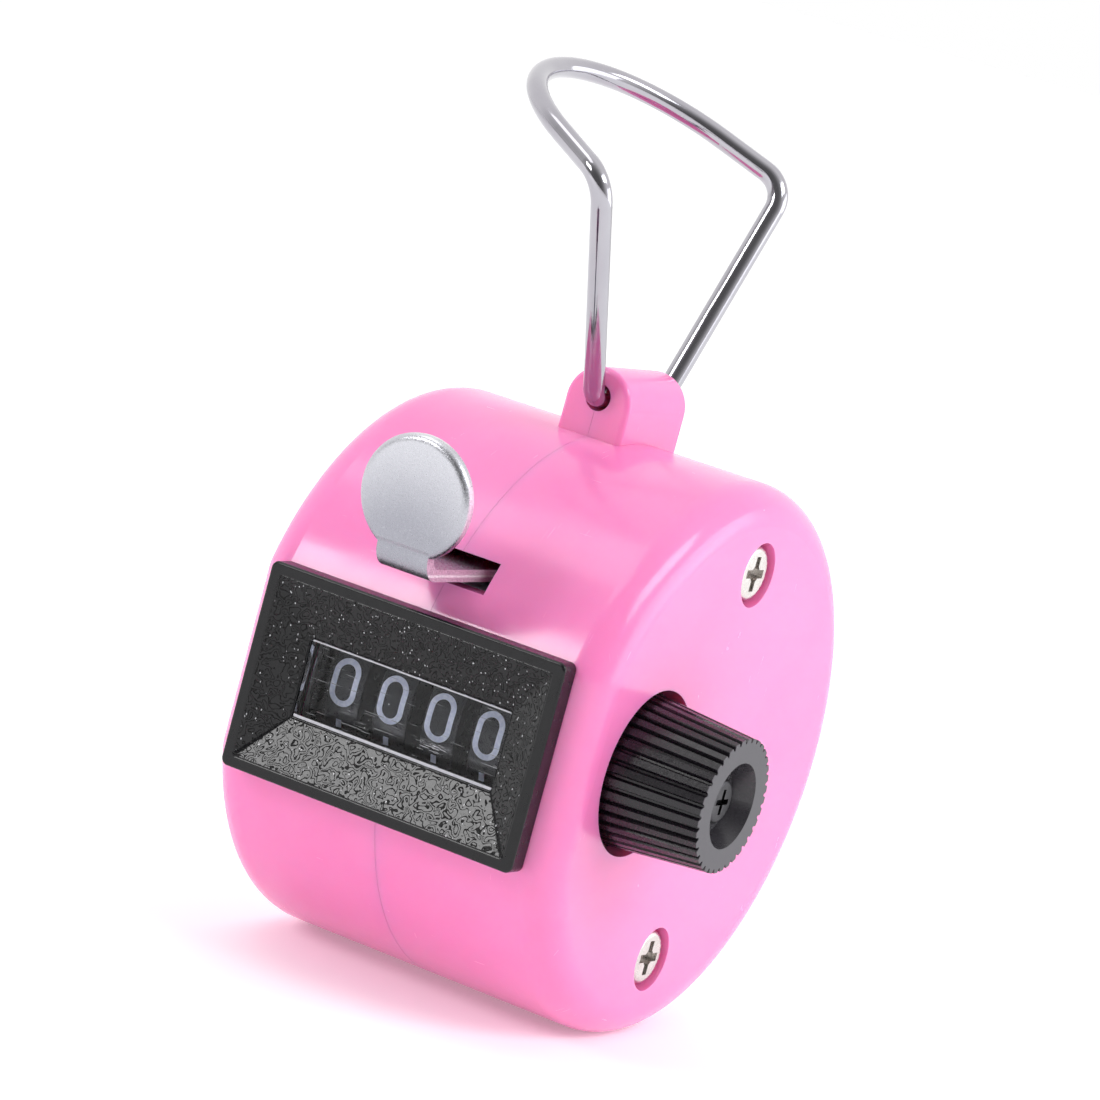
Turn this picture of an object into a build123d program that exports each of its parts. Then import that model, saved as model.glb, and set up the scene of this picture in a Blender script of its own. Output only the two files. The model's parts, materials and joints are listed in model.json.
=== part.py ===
from math import acos, atan2, cos, radians, sin, sqrt, tan
import os

from build123d import *

# A hand tally counter: a drum-shaped two-part plastic case with a window, a thumb lever, a reset
# knob and a wire finger ring, around a four-figure counting mechanism.
#
# Millimetres. The origin is the centre of the flat left side face. +X runs along the drum's axis
# towards the reset knob, -Y is the window side and +Z points to the ring lug. Helper functions and
# tables measure x from the parting plane of the two halves, which is at x = MID.

# ---- case
CASE_RADIUS = 22.5
CASE_WIDTH = 31.3
MID = CASE_WIDTH / 2
EDGE_ROUND = 2.9
WALL = 1.8
SIDE_WALL = 2.0
SEAT_Y = -21.2  # flat on the front that the bezel sits on
SEAT_WALL = 1.6
SEAT_ROUND = 4.0
SEAM_GAP = 0.01  # each half stays this far from the parting plane
INNER_RADIUS = CASE_RADIUS - WALL
INNER_X = MID - SIDE_WALL
CAVITY_ROUND = 1.2
FRONT_CLEAR = -24.0  # clear of the front, for cuts that come in from there
INTO_WALL = 0.3  # how far the ribs, bosses and standoffs reach into the side walls
RIB_Z = (17.9, 20.95)  # one behind each boss, joining it to the drum's wall
RIB_HALF = 0.6
RIB_START = 1.5

# ---- ring lug
LUG_FRONT = -3.55
LUG_BACK = 6.5
LUG_RADIUS = 2.88
LUG_TOP = 27.8
HINGE_Z = 25.4
LUG_HOLE_RADIUS = 1.1
LUG_FOOT = 19.0  # inside the drum
LUG_EDGE_ROUND = 0.45

# ---- lever slot, centred on the parting plane
SLOT_WIDTH = 6.85
SLOT_LOW = 10.42
SLOT_HIGH = 12.85
SLOT_BACK = -15.0

# ---- case screws
SCREW_Z = 15.7
BOSS_RADIUS = 2.9
HEAD_RADIUS = 2.2
HEAD_HEIGHT = 1.3
COUNTERBORE_RADIUS = 2.62
COUNTERBORE_DEPTH = 1.6
DRIVE_REACH = 1.4
DRIVE_HALF_WIDTH = 0.34
DRIVE_CENTRE_RADIUS = 0.68
SHANK_RADIUS = 1.15
SCREW_TIP = -9.0

# ---- bezel and window
BEZEL_WIDTH = 26.4
BEZEL_HEIGHT = 16.3
BEZEL_FRONT = -23.0
RIM = 0.85
WINDOW_WIDTH = 18.1
WINDOW_HEIGHT = 6.25
FUNNEL_FLOOR = -21.35
NECK_WIDTH = 21.2
NECK_HEIGHT = 9.4
NECK_BACK = -18.9
NECK_CLEARANCE = 0.15
OPENING_BACK = -17.0
LENS_WIDTH = 19.4
LENS_HEIGHT = 7.6
LENS_FRONT = -20.6
LENS_THICKNESS = 1.0
LENS_BACK = -18.5  # the block behind the flange ends just short of the wheels

# ---- figure wheels and their shaft
AXLE_Y = -10.24
WHEEL_PITCH = 4.36
WHEEL_NAMES = ["thousands", "hundreds", "tens", "units"]
WHEELS_MIDDLE = -0.25  # the row of wheels sits a little left of the parting plane
WHEEL_X = [WHEELS_MIDDLE + WHEEL_PITCH * (i - 1.5) for i in range(4)]
DRUM_RADIUS = 7.5
DRUM_WIDTH = 3.05
RIM_THICKNESS = 1.1
WEB_THICKNESS = 1.0
HUB_RADIUS = 2.5
HUB_RIGHT = 2.74  # from the drum's middle to the hub's right end
TEETH = 10
TOOTH_TIP = 3.6
TOOTH_ROOT = 2.8
DEEP_ROOT = 2.6  # the one deep notch, which passes the count on to the next wheel
TOOTH_LEFT = 1.65
TOOTH_RIGHT = 2.65
SHAFT_RADIUS = 1.5
SHAFT_LEFT = -12.55
SHAFT_RIGHT = 18.6
RUNNING = 0.03  # radial clearance of a running fit

# ---- reset knob
KNOB_BACK = 12.25
KNOB_TIP = 23.4
KNOB_BACK_RADIUS = 6.28
KNOB_TIP_RADIUS = 5.32
FLUTES = 36
FLUTE_DEPTH = 0.34
RECESS_MOUTH = 3.4
RECESS_FLOOR_RADIUS = 2.7
RECESS_DEPTH = 1.7
KNOB_HOLE_RADIUS = 6.64

# ---- mechanism frame
PLATE_INNER = 10.6
PLATE_THICKNESS = 0.8
PLATE_OUTER = PLATE_INNER + PLATE_THICKNESS
SPACER_RADIUS = 1.2
TENON_RADIUS = 0.8
SPACERS = [(-2.5, 10.0), (-9.2, -11.75)]
BAR_Y = (0.4, 3.4)
BAR_Z = (-7.4, -4.5)
FRAME_SCREWS = [(2.0, 6.5), (-5.0, -11.0)]
STANDOFF_RADIUS = 1.9
LEFT_PEG_RADIUS = 0.98
BUSH_RADIUS = 2.4
BUSH_FLANGE_RADIUS = 3.2
BUSH_FLANGE = 0.3

# ---- thumb lever: sheet steel, turning about a pin at the bottom of the mechanism
LEVER_PIVOT = (-14.2, -11.6)
LEVER_PIN_RADIUS = 0.9
SHEET = 0.95
ARM_WIDTH = 4.5
ARM_TOP = 12.05
NECK_FRONT = -27.6
NECK_TOP = 13.05
BEND_RADIUS = 1.9  # outside of the bend between the arm and the neck
PAD_RADIUS = 4.72
PAD_CENTRE_Z = 17.0
PAD_FRONT = -28.25  # of the pad's front face, at its centre
PAD_LEAN = 6.5
PAD_EDGE_ROUND = 0.6
LEG_INNER = 9.5
LEG_OUTER = 10.3
BRIDGE_Y = (-16.1, -12.6)

# ---- counting pawl, carried by the lever
PAWL_PIVOT = (-14.3, 9.6)
PAWL_PIN_RADIUS = 0.6
PAWL_HUB_RADIUS = 1.15
PAWL_TIP = (-12.36, 4.33)
FINGER_WIDTH = 0.7
FINGER_STEP = 0.16  # each finger to the left is this much shorter

# ---- finger ring: one bent wire, not quite symmetric, with both ends in the lug's hole
WIRE_RADIUS = 0.84
PIN_ENDS = (-0.6, 3.4)
LEG_FEET = (-4.3, 7.25)  # where the legs' lines meet the hinge line
FRONT_CORNER = (0.45, -13.16, 42.29)
BACK_CORNER = (2.53, 14.04, 44.24)
ARCH_DIRECTION = (-14.05, 0.79, 5.83)  # from the corners to the top of the arch
ARCH_RADIUS = 12.4
ARCH_CENTRE = 2.83  # of the arch's round end, beyond the line between the corners
FOOT_BEND = 1.6
CORNER_BEND = 2.5


def side_plane(x):
    """The plane parallel to the side faces, x from the parting plane; sketch axes are Y and Z."""
    return Plane(origin=(MID + x, 0, 0), x_dir=(0, 1, 0), z_dir=(1, 0, 0))


def front_plane(y):
    """The plane facing the window side at y; sketch axes are X, from the parting plane, and Z."""
    return Plane(origin=(MID, y, 0), x_dir=(1, 0, 0), z_dir=(0, -1, 0))


def level_plane(z):
    """The horizontal plane at z; sketch axes are X, from the parting plane, and Y."""
    return Plane(origin=(MID, 0, z), x_dir=(1, 0, 0), z_dir=(0, 0, 1))


def rod(x_from, x_to, radius, centre, mode=Mode.ADD):
    """A round bar along X about centre = (y, z)."""
    with BuildSketch(side_plane(x_from)) as section:
        with Locations(centre):
            Circle(radius)
    extrude(section.sketch, amount=x_to - x_from, mode=mode)


def box(x_range, y_range, z_range, mode=Mode.ADD):
    """A block between two values on each axis."""
    with BuildSketch(level_plane(z_range[0])) as section:
        with Locations((sum(x_range) / 2, sum(y_range) / 2)):
            Rectangle(x_range[1] - x_range[0], y_range[1] - y_range[0])
    extrude(section.sketch, amount=z_range[1] - z_range[0], mode=mode)


def plate(x_from, x_to, outline, corner=0.0, mode=Mode.ADD):
    """A plate parallel to the side faces with a straight-sided outline of (y, z) points."""
    with BuildSketch(side_plane(x_from)) as section:
        with BuildLine():
            Polyline(*outline, close=True)
        make_face()
        if corner:
            fillet(section.vertices(), corner)
    extrude(section.sketch, amount=x_to - x_from, mode=mode)


def case_form(x_from, x_to, radius, front):
    """A drum of the case's section: a circle with a rounded flat at the front."""
    half_chord = sqrt(radius**2 - front**2)
    with BuildSketch(side_plane(x_from)) as section:
        with BuildLine():
            Line((front, -half_chord), (front, half_chord))
            ThreePointArc((front, half_chord), (radius, 0), (front, -half_chord))
        make_face()
        fillet(section.vertices(), SEAT_ROUND)
    extrude(section.sketch, amount=x_to - x_from)


def finish_part(part, name):
    """Labels a finished piece and writes its STEP file."""
    part.label = name
    export_step(part, f"parts/{name}.step")


def polar(radius, angle, centre=(0.0, 0.0)):
    """The point at a radius and an angle in degrees about a centre."""
    return (centre[0] + radius * cos(radians(angle)), centre[1] + radius * sin(radians(angle)))


os.makedirs("parts", exist_ok=True)

# ==== case ====

with BuildPart() as case_cavity:
    case_form(-INNER_X, INNER_X, INNER_RADIUS, SEAT_Y + SEAT_WALL)
    fillet(case_cavity.faces().filter_by(Axis.X).edges(), CAVITY_ROUND)

with BuildPart() as case_shell:
    case_form(-MID, MID, CASE_RADIUS, SEAT_Y)
    fillet(case_shell.faces().filter_by(Axis.X).edges(), EDGE_ROUND)
    with BuildSketch(front_plane(LUG_BACK)) as lug_arch:
        with Locations((0, LUG_TOP - LUG_RADIUS)):
            Circle(LUG_RADIUS)
        with Locations((0, (LUG_TOP - LUG_RADIUS + LUG_FOOT) / 2)):
            Rectangle(2 * LUG_RADIUS, LUG_TOP - LUG_RADIUS - LUG_FOOT)
    extrude(amount=LUG_BACK - LUG_FRONT)
    arch_z = (LUG_TOP - LUG_RADIUS - 0.02, LUG_TOP + 0.2)
    arch_edges = case_shell.edges().filter_by(GeomType.CIRCLE).filter_by_position(Axis.Z, *arch_z)
    fillet(arch_edges, LUG_EDGE_ROUND)
    with BuildSketch(front_plane(LUG_BACK)) as lug_hole:
        with Locations((0, HINGE_Z)):
            Circle(LUG_HOLE_RADIUS)
    extrude(amount=LUG_BACK - LUG_FRONT, mode=Mode.SUBTRACT)
    add(case_cavity.part, mode=Mode.SUBTRACT)
    slot_y = (FRONT_CLEAR, SLOT_BACK)
    box((-SLOT_WIDTH / 2, SLOT_WIDTH / 2), slot_y, (SLOT_LOW, SLOT_HIGH), Mode.SUBTRACT)
    opening_x = NECK_WIDTH / 2 + NECK_CLEARANCE
    opening_z = NECK_HEIGHT / 2 + NECK_CLEARANCE
    box((-opening_x, opening_x), (FRONT_CLEAR, OPENING_BACK), (-opening_z, opening_z), Mode.SUBTRACT)

with BuildPart() as housing_left:
    add(case_shell.part)
    split(bisect_by=side_plane(-SEAM_GAP), keep=Keep.BOTTOM)
    for side in (-1, 1):
        rod(-INNER_X - INTO_WALL, -SEAM_GAP, BOSS_RADIUS, (0, side * SCREW_Z))
        rod(SCREW_TIP - 0.6, -SEAM_GAP, SHANK_RADIUS + 0.02, (0, side * SCREW_Z), Mode.SUBTRACT)
        rib_z = sorted((side * RIB_Z[0], side * RIB_Z[1]))
        box((-INNER_X - INTO_WALL, -RIB_START), (-RIB_HALF, RIB_HALF), rib_z)
    rod(-INNER_X - INTO_WALL, -PLATE_OUTER, STANDOFF_RADIUS, FRAME_SCREWS[0])
    rod(-PLATE_OUTER, -PLATE_INNER + 0.3, LEFT_PEG_RADIUS, FRAME_SCREWS[0])
finish_part(housing_left.part, "housing_left")

with BuildPart() as housing_right:
    add(case_shell.part)
    split(bisect_by=side_plane(SEAM_GAP), keep=Keep.TOP)
    for side in (-1, 1):
        rod(SEAM_GAP, INNER_X + INTO_WALL, BOSS_RADIUS, (0, side * SCREW_Z))
        rod(SEAM_GAP, MID, SHANK_RADIUS + 0.2, (0, side * SCREW_Z), Mode.SUBTRACT)
        rod(MID - COUNTERBORE_DEPTH, MID, COUNTERBORE_RADIUS, (0, side * SCREW_Z), Mode.SUBTRACT)
        rib_z = sorted((side * RIB_Z[0], side * RIB_Z[1]))
        box((RIB_START, INNER_X + INTO_WALL), (-RIB_HALF, RIB_HALF), rib_z)
    rod(INNER_X - 0.5, MID, KNOB_HOLE_RADIUS, (AXLE_Y, 0), Mode.SUBTRACT)
    for place in FRAME_SCREWS:
        rod(PLATE_OUTER, INNER_X + INTO_WALL, STANDOFF_RADIUS, place)
        rod(PLATE_OUTER, INNER_X + 0.8, 0.82, place, Mode.SUBTRACT)
finish_part(housing_right.part, "housing_right")

with BuildPart() as case_screws:
    for side in (-1, 1):
        centre = (0, side * SCREW_Z)
        head_back = MID - COUNTERBORE_DEPTH
        rod(head_back, head_back + HEAD_HEIGHT, HEAD_RADIUS, centre)
        rod(SCREW_TIP, head_back, SHANK_RADIUS, centre)
    head_edges = case_screws.faces().sort_by(Axis.X)[-2:].edges()
    fillet(head_edges, 0.4)
    for side in (-1, 1):
        for half_y, half_z in ((DRIVE_REACH, DRIVE_HALF_WIDTH), (DRIVE_HALF_WIDTH, DRIVE_REACH)):
            box(
                (MID - COUNTERBORE_DEPTH + HEAD_HEIGHT - 0.75, MID),
                (-half_y, half_y),
                (side * SCREW_Z - half_z, side * SCREW_Z + half_z),
                Mode.SUBTRACT,
            )
        drive_floor = MID - COUNTERBORE_DEPTH + HEAD_HEIGHT - 1.0
        rod(drive_floor, MID, DRIVE_CENTRE_RADIUS, (0, side * SCREW_Z), Mode.SUBTRACT)
finish_part(case_screws.part, "case_screws")

# ==== window ====

with BuildPart() as bezel:
    with BuildSketch(front_plane(SEAT_Y)):
        RectangleRounded(BEZEL_WIDTH, BEZEL_HEIGHT, 0.6)
    extrude(amount=SEAT_Y - BEZEL_FRONT)
    fillet(bezel.faces().sort_by(Axis.Y)[0].edges(), 0.22)
    with BuildSketch(front_plane(SEAT_Y)):
        RectangleRounded(NECK_WIDTH, NECK_HEIGHT, 0.4)
    extrude(amount=SEAT_Y - NECK_BACK)
    with BuildSketch(front_plane(BEZEL_FRONT)):
        RectangleRounded(BEZEL_WIDTH - 2 * RIM, BEZEL_HEIGHT - 2 * RIM, 0.35)
    with BuildSketch(front_plane(FUNNEL_FLOOR)):
        RectangleRounded(WINDOW_WIDTH, WINDOW_HEIGHT, 0.15)
    loft(mode=Mode.SUBTRACT)
    with BuildSketch(front_plane(NECK_BACK)):
        Rectangle(WINDOW_WIDTH, WINDOW_HEIGHT)
    extrude(amount=NECK_BACK - FUNNEL_FLOOR, mode=Mode.SUBTRACT)
    with BuildSketch(front_plane(NECK_BACK)):
        Rectangle(LENS_WIDTH + 0.06, LENS_HEIGHT + 0.06)
    extrude(amount=NECK_BACK - LENS_FRONT, mode=Mode.SUBTRACT)
    hook_front = SEAT_Y + SEAT_WALL + 0.05
    for side in (-1, 1):
        for place in (-6.0, 6.0):
            hook = sorted((side * (NECK_HEIGHT / 2 - 0.2), side * (NECK_HEIGHT / 2 + 0.65)))
            box((place - 1.5, place + 1.5), (hook_front, NECK_BACK), hook)
finish_part(bezel.part, "bezel")

with BuildPart() as window_lens:
    with BuildSketch(front_plane(LENS_FRONT + LENS_THICKNESS)):
        Rectangle(LENS_WIDTH, LENS_HEIGHT)
    extrude(amount=LENS_THICKNESS)
    with BuildSketch(front_plane(LENS_BACK)):
        RectangleRounded(WINDOW_WIDTH - 0.12, WINDOW_HEIGHT - 0.12, 0.15)
    extrude(amount=LENS_BACK - FUNNEL_FLOOR - 0.1)
finish_part(window_lens.part, "window_lens")

# ==== figure wheels ====


def ratchet(x_from, x_to):
    """A saw-tooth ratchet with one deep notch, concentric with the shaft."""
    outline = []
    for tooth in range(TEETH):
        angle = -100 + 360 / TEETH * tooth
        root = DEEP_ROOT if tooth == 0 else TOOTH_ROOT
        outline.append(polar(TOOTH_TIP, angle - 1, (AXLE_Y, 0)))
        outline.append(polar(root, angle, (AXLE_Y, 0)))
    plate(x_from, x_to, outline)


for wheel_name, wheel_x in zip(WHEEL_NAMES, WHEEL_X):
    drum_left = wheel_x - DRUM_WIDTH / 2
    drum_right = wheel_x + DRUM_WIDTH / 2
    with BuildPart() as wheel:
        rod(drum_left, drum_right, DRUM_RADIUS, (AXLE_Y, 0))
        fillet(wheel.edges().filter_by(GeomType.CIRCLE), 0.12)
        rod(drum_left, drum_right, DRUM_RADIUS - RIM_THICKNESS, (AXLE_Y, 0), Mode.SUBTRACT)
        rod(wheel_x - WEB_THICKNESS / 2, wheel_x + WEB_THICKNESS / 2, DRUM_RADIUS - 0.5, (AXLE_Y, 0))
        rod(drum_left, wheel_x + HUB_RIGHT, HUB_RADIUS, (AXLE_Y, 0))
        ratchet(wheel_x + TOOTH_LEFT, wheel_x + TOOTH_RIGHT)
        rod(drum_left, wheel_x + HUB_RIGHT, SHAFT_RADIUS + RUNNING, (AXLE_Y, 0), Mode.SUBTRACT)
        box((drum_left, wheel_x - 0.5), (AXLE_Y - 1.45, AXLE_Y + 0.5), (1.0, 3.2), Mode.SUBTRACT)
    finish_part(wheel.part, f"{wheel_name}_wheel")

    with BuildPart() as reset_pawl:
        pawl_left = drum_left + 0.1
        rod(pawl_left, pawl_left + 0.7, 0.55, (AXLE_Y - 3.6, 3.4))
        plate(
            pawl_left + 0.1,
            pawl_left + 0.6,
            [
                (AXLE_Y - 3.6, 3.85),
                (AXLE_Y - 3.6, 3.25),
                (AXLE_Y - 0.35, 1.62),
                (AXLE_Y + 0.35, 1.62),
                (AXLE_Y + 0.35, 2.3),
            ],
        )
    finish_part(reset_pawl.part, f"{wheel_name}_reset_pawl")

# ==== shaft and knob ====

with BuildPart() as reset_shaft:
    rod(SHAFT_LEFT, SHAFT_RIGHT, SHAFT_RADIUS, (AXLE_Y, 0))
    chamfer(reset_shaft.edges().filter_by(GeomType.CIRCLE), 0.2)
    box((-8.3, 9.5), (AXLE_Y - 0.4, AXLE_Y + 0.4), (SHAFT_RADIUS - 0.5, 2), Mode.SUBTRACT)
    with BuildSketch(side_plane(SHAFT_LEFT + 0.4)):
        with Locations((AXLE_Y, 0)):
            Circle(SHAFT_RADIUS + 0.2)
            Circle(SHAFT_RADIUS - 0.4, mode=Mode.SUBTRACT)
    extrude(amount=0.4, mode=Mode.SUBTRACT)
    box((KNOB_BACK + 0.8, SHAFT_RIGHT), (AXLE_Y - 2, AXLE_Y + 2), (1.05, 2), Mode.SUBTRACT)
    rod(SHAFT_RIGHT - 4.5, SHAFT_RIGHT, 0.62, (AXLE_Y, 0), Mode.SUBTRACT)
finish_part(reset_shaft.part, "reset_shaft")

with BuildPart() as shaft_clip:
    clip_left = SHAFT_LEFT + 0.42
    rod(clip_left, clip_left + 0.36, 2.7, (AXLE_Y, 0))
    rod(clip_left, clip_left + 0.36, SHAFT_RADIUS - 0.38, (AXLE_Y, 0), Mode.SUBTRACT)
    box((clip_left, clip_left + 0.36), (AXLE_Y - 0.95, AXLE_Y + 0.95), (-3, 0), Mode.SUBTRACT)
finish_part(shaft_clip.part, "shaft_clip")

for side_name, side in (("left", -1), ("right", 1)):
    with BuildPart() as bush:
        whole = sorted((side * PLATE_INNER, side * (PLATE_OUTER + BUSH_FLANGE)))
        flange = sorted((side * PLATE_OUTER, side * (PLATE_OUTER + BUSH_FLANGE)))
        rod(*whole, BUSH_RADIUS, (AXLE_Y, 0))
        rod(*flange, BUSH_FLANGE_RADIUS, (AXLE_Y, 0))
        rod(*whole, SHAFT_RADIUS + RUNNING, (AXLE_Y, 0), Mode.SUBTRACT)
    finish_part(bush.part, f"shaft_bush_{side_name}")

stack_ends = {
    "left": (-PLATE_INNER + 0.05, WHEEL_X[0] - DRUM_WIDTH / 2 - 0.08),
    "right": (WHEEL_X[3] + HUB_RIGHT + 0.08, PLATE_INNER - 0.05),
}
for side_name, (x_from, x_to) in stack_ends.items():
    with BuildPart() as stack_spacer:
        rod(x_from, x_to, 2.3, (AXLE_Y, 0))
        rod(x_from, x_to, SHAFT_RADIUS + RUNNING, (AXLE_Y, 0), Mode.SUBTRACT)
    finish_part(stack_spacer.part, f"wheel_spacer_{side_name}")

with BuildPart() as knob_washer:
    rod(PLATE_OUTER + 0.34, KNOB_BACK - 0.04, 3.0, (AXLE_Y, 0))
    rod(PLATE_OUTER + 0.34, KNOB_BACK - 0.04, SHAFT_RADIUS + 0.1, (AXLE_Y, 0), Mode.SUBTRACT)
finish_part(knob_washer.part, "knob_washer")


def fluted_outline(radius):
    """The knob's section: flat lands between shallow grooves."""
    outline = []
    step = 360 / FLUTES
    for flute in range(FLUTES):
        for share, depth in ((0.0, 0.0), (0.52, 0.0), (0.68, FLUTE_DEPTH), (0.84, FLUTE_DEPTH)):
            outline.append(polar(radius - depth, step * (flute + share), (AXLE_Y, 0)))
    return outline


with BuildPart() as reset_knob:
    for knob_x, knob_radius in ((KNOB_BACK, KNOB_BACK_RADIUS), (KNOB_TIP, KNOB_TIP_RADIUS)):
        with BuildSketch(side_plane(knob_x)):
            with BuildLine():
                Polyline(*fluted_outline(knob_radius), close=True)
            make_face()
    loft(ruled=True)
    for recess_x, recess_radius in (
        (KNOB_TIP - RECESS_DEPTH, RECESS_FLOOR_RADIUS),
        (KNOB_TIP, RECESS_MOUTH),
    ):
        with BuildSketch(side_plane(recess_x)):
            with Locations((AXLE_Y, 0)):
                Circle(recess_radius)
    loft(mode=Mode.SUBTRACT)
    with BuildSketch(side_plane(KNOB_BACK)):
        with Locations((AXLE_Y, 0)):
            Circle(4.75)
            Circle(2.95, mode=Mode.SUBTRACT)
    extrude(amount=6.5, mode=Mode.SUBTRACT)
    with BuildSketch(side_plane(KNOB_BACK)):
        with Locations((AXLE_Y, 0)):
            Circle(SHAFT_RADIUS + 0.02)
    extrude(amount=SHAFT_RIGHT - KNOB_BACK + 0.05, mode=Mode.SUBTRACT)
    box((KNOB_BACK + 0.85, SHAFT_RIGHT), (AXLE_Y - 1.3, AXLE_Y + 1.3), (1.07, 1.7))
    rod(SHAFT_RIGHT, KNOB_TIP, 0.8, (AXLE_Y, 0), Mode.SUBTRACT)
finish_part(reset_knob.part, "reset_knob")

with BuildPart() as knob_screw:
    head_back = KNOB_TIP - RECESS_DEPTH
    rod(head_back, head_back + 0.75, 1.8, (AXLE_Y, 0))
    fillet(knob_screw.faces().sort_by(Axis.X)[-1].edges(), 0.4)
    rod(SHAFT_RIGHT - 3.9, head_back, 0.6, (AXLE_Y, 0))
    for half_y, half_z in ((1.0, 0.22), (0.22, 1.0)):
        slot_x = (head_back + 0.25, KNOB_TIP)
        box(slot_x, (AXLE_Y - half_y, AXLE_Y + half_y), (-half_z, half_z), Mode.SUBTRACT)
finish_part(knob_screw.part, "knob_screw")

# ==== mechanism frame ====

PLATE_OUTLINE = [
    (-17.3, -3.5),
    (-15.9, -11.6),
    (-12.9, -14.4),
    (-5.5, -14.6),
    (4.4, -8.4),
    (4.4, 8.4),
    (-3.0, 12.9),
    (-12.2, 12.9),
    (-17.3, 6.0),
]

for side_name, side in (("left", -1), ("right", 1)):
    plate_x = sorted((side * PLATE_INNER, side * PLATE_OUTER))
    with BuildPart() as frame_plate:
        plate(*plate_x, PLATE_OUTLINE, corner=1.4)
        rod(*plate_x, BUSH_RADIUS, (AXLE_Y, 0), Mode.SUBTRACT)
        rod(*plate_x, LEVER_PIN_RADIUS, LEVER_PIVOT, Mode.SUBTRACT)
        bar_centre = (sum(BAR_Y) / 2, sum(BAR_Z) / 2)
        for place in SPACERS + [bar_centre]:
            rod(*plate_x, TENON_RADIUS, place, Mode.SUBTRACT)
        for place in FRAME_SCREWS if side > 0 else FRAME_SCREWS[:1]:
            rod(*plate_x, 1.05, place, Mode.SUBTRACT)
        rod(*plate_x, 1.6, (-3.4, 2.6), Mode.SUBTRACT)
    finish_part(frame_plate.part, f"frame_plate_{side_name}")

with BuildPart() as frame_spacers:
    for place in SPACERS:
        rod(-PLATE_INNER, PLATE_INNER, SPACER_RADIUS, place)
        rod(-PLATE_OUTER, PLATE_OUTER, TENON_RADIUS, place)
        for side in (-1, 1):
            rod(*sorted((side * PLATE_OUTER, side * (PLATE_OUTER + 0.3))), 1.25, place)
finish_part(frame_spacers.part, "frame_spacers")

with BuildPart() as frame_screws:
    for place in FRAME_SCREWS:
        rod(PLATE_INNER - 0.95, PLATE_INNER, 1.7, place)
        rod(PLATE_INNER, INNER_X + 0.6, 0.8, place)
    for y, z in FRAME_SCREWS:
        box((PLATE_INNER - 1, PLATE_INNER - 0.5), (y - 1.8, y + 1.8), (z - 0.22, z + 0.22), Mode.SUBTRACT)
finish_part(frame_screws.part, "frame_screws")

COMB_SCREW_X = (-3.9, 4.9)
COMB_SCREW_Y = 2.0

with BuildPart() as comb_bar:
    box((-PLATE_INNER, PLATE_INNER), BAR_Y, BAR_Z)
    rod(-PLATE_OUTER, PLATE_OUTER, TENON_RADIUS, (sum(BAR_Y) / 2, sum(BAR_Z) / 2))
    for x in COMB_SCREW_X:
        with BuildSketch(level_plane(BAR_Z[0])):
            with Locations((x, COMB_SCREW_Y)):
                Circle(0.72)
        extrude(amount=BAR_Z[1] - BAR_Z[0], mode=Mode.SUBTRACT)
finish_part(comb_bar.part, "comb_bar")

COMB_THICKNESS = 0.3
FINGER_X = [x + (TOOTH_LEFT + TOOTH_RIGHT) / 2 for x in WHEEL_X]

with BuildPart() as detent_comb:
    comb_z = (BAR_Z[1], BAR_Z[1] + COMB_THICKNESS)
    box((FINGER_X[0] - 1.2, FINGER_X[3] + 0.8), (-0.4, 3.4), comb_z)
    for x in FINGER_X:
        box((x - 0.35, x + 0.35), (AXLE_Y - 0.2, -0.3), comb_z)
        plate(
            x - 0.35,
            x + 0.35,
            [
                (AXLE_Y - 0.55, comb_z[0]),
                (AXLE_Y + 0.95, comb_z[0]),
                (AXLE_Y + 0.15, -3.12),
                (AXLE_Y - 0.35, -3.12),
            ],
        )
    for x in COMB_SCREW_X:
        with BuildSketch(level_plane(comb_z[0])):
            with Locations((x, COMB_SCREW_Y)):
                Circle(0.75)
        extrude(amount=COMB_THICKNESS, mode=Mode.SUBTRACT)
finish_part(detent_comb.part, "detent_comb")

with BuildPart() as comb_screws:
    for x in COMB_SCREW_X:
        with BuildSketch(level_plane(BAR_Z[0] + 0.4)):
            with Locations((x, COMB_SCREW_Y)):
                Circle(0.7)
        extrude(amount=BAR_Z[1] + COMB_THICKNESS - BAR_Z[0] - 0.4)
        with BuildSketch(level_plane(BAR_Z[1] + COMB_THICKNESS)):
            with Locations((x, COMB_SCREW_Y)):
                Circle(1.3)
        extrude(amount=0.75)
        slot_z = (BAR_Z[1] + COMB_THICKNESS + 0.4, BAR_Z[1] + COMB_THICKNESS + 0.8)
        box((x - 1.4, x + 1.4), (COMB_SCREW_Y - 0.18, COMB_SCREW_Y + 0.18), slot_z, Mode.SUBTRACT)
finish_part(comb_screws.part, "comb_screws")

# ==== thumb lever ====

LEG_OUTLINE = [
    (-16.1, ARM_TOP),
    (-12.6, ARM_TOP),
    (-12.7, 9.2),
    (-14.5, 4.4),
    (-14.6, -4.0),
    (-12.9, -10.4),
    (-13.4, -12.6),
    (-15.4, -12.9),
    (-16.0, -11.4),
    (-17.5, -3.8),
    (-17.5, 4.4),
    (-16.1, 9.8),
]

def pad_front(z):
    """The y of the leaning pad's front face at a height."""
    return PAD_FRONT - tan(radians(PAD_LEAN)) * (z - PAD_CENTRE_Z)


# One side of the bent sheet in side view: along the arm, up the neck and, past a crease, up the pad.
crease_top = NECK_TOP + 0.3
pad_top = PAD_CENTRE_Z + PAD_RADIUS + 1
under_side = [
    (BRIDGE_Y[1], ARM_TOP - SHEET),
    (NECK_FRONT, ARM_TOP - SHEET),
    (NECK_FRONT, NECK_TOP),
    (pad_front(crease_top), crease_top),
    (pad_front(pad_top), pad_top),
]
upper_side = [(y + SHEET, z) for y, z in under_side]
upper_side[0] = (BRIDGE_Y[1], ARM_TOP)
upper_side[1] = (NECK_FRONT + SHEET, ARM_TOP)

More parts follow.
